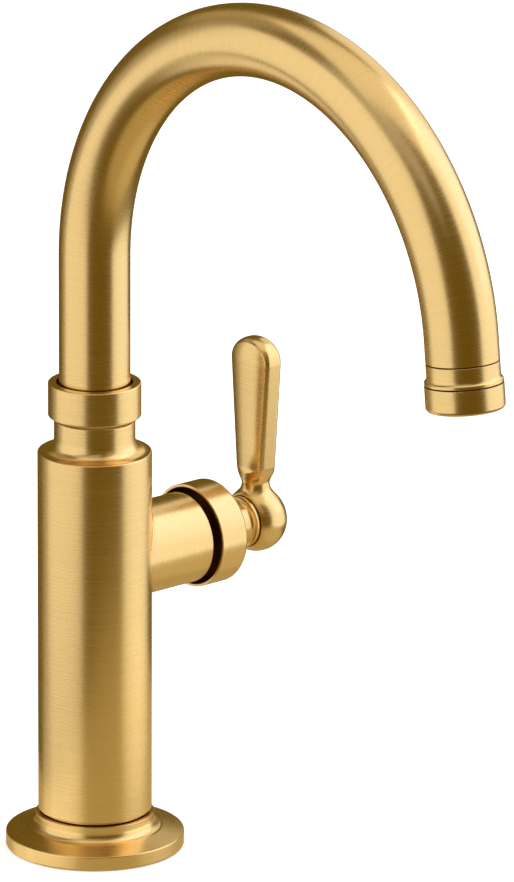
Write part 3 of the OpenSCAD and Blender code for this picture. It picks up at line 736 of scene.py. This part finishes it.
@dataclass
class Lever:
    """The round hub, the narrow neck and the flat blade, melted into one piece.

    Heights are taken from the hub's middle, and a melt is the width over which two forms run into
    each other. The blade is half_t thick to each side at its dome and loses thinning down to its
    foot. Its faces fall away by crown towards the edges, and on past them as far as crown_end half
    widths. The long edges' radius grows by softened up to the dome's top. The grid of the melt has
    cells of one voxel and reaches room_x and room_y from the hub's middle, and room_top above the
    blade. rim is the chamfer round the hub's flat face.
    """

    hub_r: float = 12 * MM
    hub_round: float = 10.3 * MM
    neck_r: float = 5.0 * MM
    neck_top: float = 18 * MM
    neck_melt: float = 4.2 * MM
    foot_h: float = 15.0 * MM
    foot_corner: float = 5.4 * MM
    foot_melt: float = 3.0 * MM
    top_h: float = 68.5 * MM
    top_half: float = 10.0 * MM
    dome_h: float = 8.7 * MM
    foot_half: float = 7.05 * MM
    half_t: float = 5.4 * MM
    thinning: float = 0.5 * MM
    crown: float = 2.05 * MM
    crown_end: float = 1.15
    edge_r: float = 1.2 * MM
    softened: float = 1.8 * MM
    voxel: float = 0.27 * MM
    level: float = 0.5
    room_x: float = 11 * MM
    room_y: float = 13.2 * MM
    room_top: float = 1.2 * MM
    rim: float = 0.3 * MM

    def lean(self) -> float:
        """Angle by which the blade's long edges spread."""
        return math.asin((self.top_half - self.foot_half) / self.length())

    def length(self) -> float:
        """Length of the blade's straight flanks, in the scale that makes its dome round."""
        return (self.top_h - self.dome_h - self.foot_h - self.foot_corner) * self.top_half / self.dome_h

    def hub(self, recipe: Recipe, u: Wire, v: Wire, w: Wire) -> Wire:
        """Distance from the hub, a ball that is flattened towards the branch's axis."""
        radius, rounding = recipe.sizes["Hub radius"], recipe.sizes["Hub rounding"]
        return (v.hypot(w) - (radius - rounding)).most(0.0).hypot(u) - rounding

    def neck(self, recipe: Recipe, u: Wire, v: Wire, w: Wire) -> Wire:
        """Distance from the neck, a short round bar between hub and blade."""
        size = recipe.sizes
        return (u.hypot(v) - size["Neck radius"]).most(w - size["Neck top"]).most(0.0 - w)

    def blade(self, recipe: Recipe, u: Wire, v: Wire, w: Wire) -> Wire:
        """Shapes the blade, with its dome, its spread, its crowned faces and its crisp edges.

        Args:
            recipe: the lever's recipe.
            u: how far out a point is from the hub's middle, along the branch.
            v: how far it is to the side.
            w: how far it is above.

        Returns:
            The point's distance from the blade.
        """
        size = recipe.sizes
        lean, corner, half = self.lean(), size["Foot corner"], size["Top half width"]
        side, rise = v.size(), (w - (self.top_h - self.dome_h)) * (self.top_half / self.dome_h)
        up = rise.most(0.0).least(half)
        edge = size["Edge radius"] + up * up * (self.softened / self.top_half ** 2)
        on_dome = (side * math.sin(lean) + rise * math.cos(lean)) > 0.0
        flank = side * math.cos(lean) - rise * math.sin(lean)
        outline = on_dome.choose(side.hypot(rise), flank) - half
        beyond, below = outline + corner, size["Foot height"] - w + corner
        across = beyond.most(0.0).hypot(below.most(0.0)) + beyond.most(below).least(0.0) - corner + edge
        local = (half + rise * math.sin(lean)) * (1 / math.cos(lean))
        share = on_dome.choose(side.hypot(rise) / half, side / local).least(self.crown_end)
        thin = rise.least(0.0) * (self.thinning / self.length())
        swell = share * share * share.root() * (size["Crown"] + thin)
        through = u.size() + swell - (size["Half thickness"] + thin - edge)
        return across.most(0.0).hypot(through.most(0.0)) + across.most(through).least(0.0) - edge

    def melted(self) -> bpy.types.Mesh:
        """Runs hub, neck and blade into one form.

        Returns:
            Its smooth skin.
        """
        recipe = Recipe("lever_blend", {
            "Hub radius": self.hub_r, "Hub rounding": self.hub_round, "Neck radius": self.neck_r,
            "Neck top": self.neck_top, "Neck melt": self.neck_melt, "Foot height": self.foot_h,
            "Foot corner": self.foot_corner, "Foot melt": self.foot_melt, "Top half width": self.top_half,
            "Half thickness": self.half_t, "Crown": self.crown, "Edge radius": self.edge_r})
        x, y, z = recipe.place()
        u, w = x - LAYOUT.hub_mid_x, z - LAYOUT.branch_z
        stalk = self.neck(recipe, u, y, w).melt(self.blade(recipe, u, y, w), recipe.sizes["Foot melt"])
        away = stalk.melt(self.hub(recipe, u, y, w), recipe.sizes["Neck melt"])
        roof = LAYOUT.branch_z + self.top_h + self.room_top
        low = Vector((LAYOUT.hub_mid_x - self.room_x, -self.room_y, LAYOUT.branch_z - self.room_y))
        high = Vector((LAYOUT.hub_mid_x + self.room_x, self.room_y, roof))
        counts = [round(extent / self.voxel) for extent in high - low]
        block = recipe.step("GeometryNodeVolumeCube", {}, {
            "Density": self.level - away * (1 / MM), "Background": 0.0, "Min": low, "Max": high,
            "Resolution X": counts[0], "Resolution Y": counts[1], "Resolution Z": counts[2]})
        skin = recipe.step("GeometryNodeVolumeToMesh", {}, {"Volume": block, "Threshold": self.level})
        smooth = recipe.step("GeometryNodeSetShadeSmooth", {}, {"Geometry": skin})
        return recipe.run(smooth, BrushedGold(Lay.ACROSS_LEVER))

    def seated(self, mesh: bpy.types.Mesh) -> None:
        """Cuts the hub flat where it meets the stem, with a small chamfer round the cut.

        Args:
            mesh: the melted skin.
        """
        shape = bmesh.new()
        shape.from_mesh(mesh)
        cut = bmesh.ops.bisect_plane(
            shape, geom=[*shape.verts, *shape.edges, *shape.faces], dist=WELD,
            plane_co=(LAYOUT.hub_x + self.rim, 0, 0), plane_no=(1, 0, 0), clear_inner=True)
        loop = [item for item in cut["geom_cut"] if isinstance(item, bmesh.types.BMEdge)]
        for edge in loop:
            edge.smooth = False
        grown = bmesh.ops.extrude_edge_only(shape, edges=loop)["geom"]
        axis = Vector((0, 0, LAYOUT.branch_z))
        for vert in (item for item in grown if isinstance(item, bmesh.types.BMVert)):
            out = Vector((0, vert.co.y, vert.co.z)) - axis
            vert.co = axis + out * (1 - self.rim / out.length) + Vector((LAYOUT.hub_x, 0, 0))
        centre = shape.verts.new((LAYOUT.hub_x, 0, LAYOUT.branch_z))
        for edge in [item for item in grown if isinstance(item, bmesh.types.BMEdge)]:
            edge.smooth = False
            shape.faces.new((*edge.verts, centre)).smooth = False
        bmesh.ops.recalc_face_normals(shape, faces=shape.faces)
        shape.to_mesh(mesh)
        shape.free()

    def build(self) -> None:
        """Makes the lever in place of the plainer CAD one."""
        mesh = self.melted()
        self.seated(mesh)
        gold = BrushedGold(Lay.ACROSS_LEVER)
        finish_piece("blended_lever", mesh, "handle", gold, ("lever",))


@dataclass
class Handle:
    """Skirt, stem and lever."""

    lever: Lever = field(default_factory=Lever)

    def build(self) -> None:
        """Dresses the skirt and the stem, and makes the lever."""
        dress("handle_skirt", BrushedGold(Lay.SKIRT))
        dress("handle_stem", BrushedGold(Lay.ROUND_BRANCH))
        self.lever.build()


@dataclass
class Tube:
    """The gooseneck: straight up, round the arc and a short way down.

    seam is the chamfer at its end, and crease the angle from which an edge is sharp.
    """

    wall: float = 1.2 * MM
    seam: float = 0.3 * MM
    stations: int = 220
    around: int = 112
    crease: float = math.radians(32)

    def build(self) -> None:
        """Sweeps the tube along its path and gives it its wall."""
        recipe = Recipe("gooseneck", {
            "Tube radius": LAYOUT.tube_r, "Seam": self.seam, "Foot height": LAYOUT.tube_foot_z,
            "Arc height": LAYOUT.arc_z, "Arc radius": LAYOUT.arc_r, "Sweep": LAYOUT.sweep,
            "Run": LAYOUT.tube_run, "Stations": self.stations, "Around": self.around})
        size = recipe.sizes
        index = recipe.step("GeometryNodeInputIndex", {}, {})
        # The last ring ends the chamfer. Those before it are evenly spaced up to its start.
        last = index > size["Stations"] - 1.5
        straight, bend = size["Arc height"] - size["Foot height"], size["Sweep"] * size["Arc radius"]
        whole = straight + bend + size["Run"]
        travel = last.choose(whole, index / (size["Stations"] - 2.0) * (whole - size["Seam"]))
        turned = (travel - straight).most(0.0).least(bend) / size["Arc radius"]
        past = (travel - straight - bend).most(0.0)
        y = size["Arc radius"] * (turned.cosine() - 1.0) - past * turned.sine()
        z = size["Foot height"] + travel.least(straight) + size["Arc radius"] * turned.sine()
        z = z + past * turned.cosine()
        line = recipe.step("GeometryNodeMeshLine", {}, {"Count": size["Stations"]})
        bent = recipe.step("GeometryNodeSetPosition", {}, {
            "Geometry": line, "Position": recipe.graph.vector(0.0, y, z)})
        path = recipe.step("GeometryNodeMeshToCurve", {}, {"Mesh": bent})
        ring = recipe.step("GeometryNodeCurvePrimitiveCircle", {"mode": "RADIUS"}, {
            "Resolution": size["Around"], "Radius": size["Tube radius"]})
        taper = last.choose(1.0 - size["Seam"] / size["Tube radius"], 1.0)
        skin = recipe.step("GeometryNodeCurveToMesh", {}, {
            "Curve": path, "Profile Curve": ring, "Scale": taper})
        smooth = recipe.step("GeometryNodeSetShadeSmooth", {}, {"Geometry": skin})
        gold = BrushedGold(Lay.ROUND_SPOUT)
        mesh = walled(recipe.run(smooth, gold), self.wall)
        mesh.set_sharp_from_angle(angle=self.crease)
        finish_piece("gooseneck_tube", mesh, "spout", gold, ("spout_tube",))


@dataclass
class Honeycomb:
    """The grid of six-sided cells in the spout's mouth, with rings of cells round a middle one.

    top is how far past the arc's end it starts, and around how many points its rim has. Each cell is
    turned by cell_turn, so that its flats face its neighbours.
    """

    disc_r: float = 10.74 * MM
    thickness: float = 2.0 * MM
    top: float = 20.0 * MM
    pitch: float = 2.2 * MM
    wall: float = 0.4 * MM
    rings: int = 3
    around: int = 96
    sides: int = 6
    cell_turn: float = math.radians(30)

    def build(self) -> None:
        """Cuts the cells out of the disc and sets it in the mouth."""
        recipe = Recipe("honeycomb", {
            "Disc radius": self.disc_r, "Thickness": self.thickness, "Depth in spout": self.top,
            "Pitch": self.pitch, "Wall": self.wall, "Rings": self.rings, "Arc radius": LAYOUT.arc_r,
            "Arc height": LAYOUT.arc_z, "Sweep": LAYOUT.sweep})
        size, graph = recipe.sizes, recipe.graph
        index, rings = recipe.step("GeometryNodeInputIndex", {}, {}), size["Rings"]
        row_len = rings * 2.0 + 1.0
        # The middle of a point's step, so that no rounding puts it in the row before.
        row = ((index + 0.5) / row_len).whole()
        i, j = row - rings, index - row * row_len - rings
        at = graph.vector(size["Pitch"] * (i + j * 0.5), size["Pitch"] * j * (math.sqrt(3) / 2), 0.0)
        spots = recipe.step("GeometryNodePoints", {}, {"Count": row_len * row_len, "Position": at})
        cell = recipe.step("GeometryNodeMeshCylinder", {"fill_type": "NGON"}, {
            "Vertices": self.sides, "Radius": (size["Pitch"] - size["Wall"]) * (1 / math.sqrt(3)),
            "Depth": size["Thickness"] * 2.0})
        cells = recipe.step("GeometryNodeInstanceOnPoints", {}, {
            "Points": spots, "Selection": (i + j).size() < rings + 0.5, "Instance": cell,
            "Rotation": (0.0, 0.0, self.cell_turn)})
        disc = recipe.step("GeometryNodeMeshCylinder", {"fill_type": "NGON"}, {
            "Vertices": self.around, "Radius": size["Disc radius"], "Depth": size["Thickness"]})
        grid = recipe.step("GeometryNodeMeshBoolean", {"operation": "DIFFERENCE"}, {
            "Mesh 1": disc, "Mesh 2": cells})
        middle = size["Depth in spout"] + size["Thickness"] * 0.5
        seat = recipe.step("GeometryNodeTransform", {}, {
            "Geometry": grid, "Translation": graph.vector(0.0, 0.0, middle)})
        arc_r, sweep = size["Arc radius"], size["Sweep"]
        reach, rise = arc_r * (sweep.cosine() - 1.0), size["Arc height"] + arc_r * sweep.sine()
        placed = recipe.step("GeometryNodeTransform", {}, {
            "Geometry": seat, "Rotation": graph.vector(sweep, 0.0, 0.0),
            "Translation": graph.vector(0.0, reach, rise)})
        mesh = recipe.run(placed, WHITE_PLASTIC)
        outward(mesh)
        finish_piece("honeycomb_grid", mesh, "spout", WHITE_PLASTIC, ("aerator_grid",))


@dataclass
class Spout:
    """Tube, collar and outlet."""

    tube: Tube = field(default_factory=Tube)
    honeycomb: Honeycomb = field(default_factory=Honeycomb)

    def build(self) -> None:
        """Makes the tube and the honeycomb, and dresses the spout's turned pieces."""
        self.tube.build()
        self.honeycomb.build()
        dress("spout_collar", BrushedGold(Lay.ROUND_COLUMN))
        dress("outlet_adapter", BrushedGold(Lay.ROUND_SPOUT))
        dress("aerator_housing", BrushedGold(Lay.ROUND_SPOUT))


@dataclass
class InnerPieces:
    """What the faucet holds inside, dressed node by node."""

    finishes: dict[str, tuple[Finish, str]] = field(default_factory=lambda: {
        "base_gasket": (RUBBER, "rubber"), "base_plug": (RAW_BRASS, "raw_brass"),
        "hot_riser": (COPPER, "copper"), "cold_riser": (COPPER, "copper"),
        "valve_block": (RAW_BRASS, "raw_brass"), "block_seal": (RUBBER, "rubber"),
        "swivel_washer": (BROWN_RUBBER, "rubber"), "spout_screw": (STEEL, "steel"),
        "port_seals": (RUBBER, "rubber"), "cartridge_base": (GREY_PLASTIC, "grey_plastic"),
        "fixed_disc": (CERAMIC, "ceramic"), "cartridge_body": (BLACK_PLASTIC, "grey_plastic"),
        "retaining_nut": (SHADE_DARK_BRASS, "raw_brass"), "cartridge_rotor": (WHITE_PLASTIC, "white_plastic"),
        "pivot_pin": (STEEL, "steel"), "moving_disc": (CERAMIC, "ceramic"),
        "disc_carrier": (WHITE_PLASTIC, "white_plastic"), "cartridge_stem": (STEEL, "steel"),
        "stem_screw": (STEEL, "steel"), "lever_stud": (STEEL, "steel"),
        "spout_spigot": (RAW_BRASS, "raw_brass"), "spout_o_rings": (RUBBER, "rubber"),
        "aerator_washer": (RUBBER, "rubber"), "flow_regulator": (RUBBER, "rubber"),
        "aerator_insert": (GREY_PLASTIC, "grey_plastic"),
    })

    def build(self) -> None:
        """Dresses each of them."""
        for node, (finish, slot) in self.finishes.items():
            dress(node, finish)


# ---- Studio ----


@dataclass(frozen=True)
class Panel:
    """A soft light panel, given in degrees by the directions that it covers as the faucet sees it.

    bearing is taken from the camera's side towards the picture's right, and the elevations of its
    edges from the height from_z. glow is its radiance in red, green and blue.
    """

    name: str
    bearing: float
    half_width: float
    low: float
    high: float
    glow: Colour
    distance: float = 1.1
    from_z: float = 0.18

    def build(self, camera_side: Vector, right: Vector) -> None:
        """Hangs the panel upright, facing the faucet.

        Args:
            camera_side: level direction from the faucet to the camera.
            right: level direction to the picture's right.
        """
        turn = math.radians(self.bearing)
        away = camera_side * math.cos(turn) + right * math.sin(turn)
        heights = (self.distance * math.tan(math.radians(edge)) for edge in (self.low, self.high))
        bottom, top = (self.from_z + height for height in heights)
        width = 2 * self.distance * math.tan(math.radians(self.half_width))
        spot = away * self.distance + Vector((0, 0, (bottom + top) / 2))
        hang_light(self.name, spot, away, Vector((0, 0, 1)).cross(away), width, top - bottom, self.glow)


@dataclass(frozen=True)
class Card:
    """A level light over or under the faucet, moved nearer to the camera and aside to the right."""

    name: str
    height: float
    nearer: float
    aside: float
    width: float
    depth: float
    glow: Colour
    shape: str = "ELLIPSE"

    def build(self, camera_side: Vector, right: Vector) -> None:
        """Lays the card level, facing the faucet.

        Args:
            camera_side: level direction from the faucet to the camera.
            right: level direction to the picture's right.
        """
        spot = Vector((0, 0, self.height)) + camera_side * self.nearer + right * self.aside
        away = Vector((0, 0, math.copysign(1, self.height)))
        hang_light(self.name, spot, away, right, self.width, self.depth, self.glow, self.shape)


def hang_light(name: str, spot: Vector, away: Vector, across: Vector, width: float, height: float,
               glow: Colour, shape: str = "RECTANGLE") -> None:
    """Adds an area light that the camera doesn't see.

    Args:
        name: its name.
        spot: its centre.
        away: direction from the faucet to it.
        across: direction of its width.
        width: its width.
        height: its height.
        glow: its radiance in red, green and blue.
        shape: the light's outline.
    """
    light = bpy.data.lights.new(name, "AREA")
    light.shape = shape
    light.size, light.size_y = width, height
    area = width * height * (math.pi / 4 if shape == "ELLIPSE" else 1.0)
    peak = max(glow)
    light.color = tuple(part / peak for part in glow)
    light.energy = peak * math.pi * area
    holder = bpy.data.objects.new(name, light)
    facing = Matrix((across, away.cross(across), away)).transposed()
    holder.matrix_world = Matrix.Translation(spot) @ facing.to_4x4()
    holder.visible_camera = False
    bpy.context.scene.collection.objects.link(holder)


@dataclass
class Studio:
    """Pale floor, soft lights, dim surroundings and the camera.

    heading is taken from +Y towards +X, in degrees as pitch and roll are. lens and sensor are in
    millimetres. The camera and the floor see the room, and the metal mirrors the dusk.
    """

    eye: Point = (-1.98308, -2.29232, 1.06555)
    heading: float = 41.952
    pitch: float = -16.7965
    roll: float = 0.262
    lens: float = 364.05
    sensor: float = 36.0
    sight: float = 100.0
    paper: Colour = (0.92, 0.92, 0.915)
    floor_r: float = 9.0
    floor_gap: float = 0.2 * MM
    floor_sides: int = 96
    room: Colour = (1.15, 1.15, 1.15)
    dusk: Colour = (0.135, 0.090, 0.006)
    panels: tuple[Panel, ...] = (
        Panel("left_panel", -65, 42, -28, 42, (0.86, 0.865, 0.87)),
        Panel("left_low", -110, 22, -55, -28, (0.60, 0.60, 0.59)),
        Panel("left_wing", -116, 9, -50, 60, (0.24, 0.24, 0.23)),
        Panel("front_top", -27, 47, 42, 64, (0.34, 0.35, 0.40)),
        Panel("right_panel", 96, 37, -24, 60, (0.98, 1.03, 1.09)),
        Panel("high_key", 110, 24, 4, 56, (0.25, 0.27, 0.50), distance=1.02),
        Panel("back_left", -142, 13, 26, 60, (0.29, 0.26, 0.21)),
        Panel("back_right", 150, 18, 8, 50, (0.82, 0.79, 0.73)),
    )
    cards: tuple[Card, ...] = (
        Card("ceiling", 1.6, -0.05, 0.18, 1.7, 1.4, (0.78, 0.75, 0.70), "RECTANGLE"),
        Card("bounce_card", -0.004, 0.04, 0.10, 0.40, 0.46, (0.34, 0.29, 0.19)),
        Card("side_card", -0.006, 0.0, 0.36, 0.52, 0.40, (0.12, 0.115, 0.10)),
    )

    def camera(self) -> None:
        """Sets the camera up as the photograph's was."""
        data = bpy.data.cameras.new("camera")
        data.lens = self.lens
        data.sensor_width = self.sensor
        data.clip_end = self.sight
        holder = bpy.data.objects.new("camera", data)
        head, pitch = math.radians(self.heading), math.radians(self.pitch)
        look = Vector((math.sin(head) * math.cos(pitch), math.cos(head) * math.cos(pitch), math.sin(pitch)))
        turn = look.to_track_quat("-Z", "Y").to_matrix() @ Matrix.Rotation(math.radians(self.roll), 3, "Z")
        holder.matrix_world = Matrix.Translation(self.eye) @ turn.to_4x4()
        bpy.context.scene.collection.objects.link(holder)
        bpy.context.scene.camera = holder

    def floor(self) -> None:
        """Lays the pale floor. The metal mirrors the cards under it instead."""
        shape = bmesh.new()
        bmesh.ops.create_circle(shape, cap_ends=True, segments=self.floor_sides, radius=self.floor_r)
        mesh = bpy.data.meshes.new("floor")
        shape.to_mesh(mesh)
        shape.free()
        material = bpy.data.materials.new("floor_paper")
        material.use_nodes = True
        graph = Graph(material.node_tree)
        shader = graph.node("ShaderNodeBsdfDiffuse", {}, {"Color": (*self.paper, 1.0)})
        graph.make("ShaderNodeOutputMaterial", {}, {"Surface": shader})
        mesh.materials.append(material)
        floor = bpy.data.objects.new("floor", mesh)
        floor.location.z = -self.floor_gap
        floor.visible_glossy = False
        floor.visible_shadow = False
        bpy.context.scene.collection.objects.link(floor)

    def surroundings(self) -> None:
        """Makes the world pale to the eye, and dim and warm in the metal."""
        world = bpy.data.worlds.new("studio")
        world.use_nodes = True
        bpy.context.scene.world = world
        graph = Graph(world.node_tree)
        mirrored = graph.node("ShaderNodeLightPath", {}, {}, "Is Glossy Ray")
        back = graph.node("ShaderNodeBackground", {}, {
            "Color": graph.mix(mirrored, self.room, self.dusk), "Strength": 1.0})
        graph.make("ShaderNodeOutputWorld", {}, {"Surface": back})

    def lights(self) -> None:
        """Hangs the panels, the ceiling and the two cards under the floor."""
        head = math.radians(self.heading)
        camera_side = Vector((-math.sin(head), -math.cos(head), 0))
        right = Vector((math.cos(head), -math.sin(head), 0))
        for light in (*self.panels, *self.cards):
            light.build(camera_side, right)

    def build(self) -> None:
        """Builds the studio."""
        self.camera()
        self.floor()
        self.surroundings()
        self.lights()
        bpy.context.scene.view_settings.view_transform = "Standard"


def main() -> None:
    """Builds the faucet's looks and the studio."""
    logging.basicConfig(level=logging.INFO, format="%(name)s %(message)s")
    for part in (Column(), Handle(), Spout(), InnerPieces(), Studio()):
        part.build()
        log.info("%s is built", type(part).__name__)


if __name__ == "__main__":
    main()
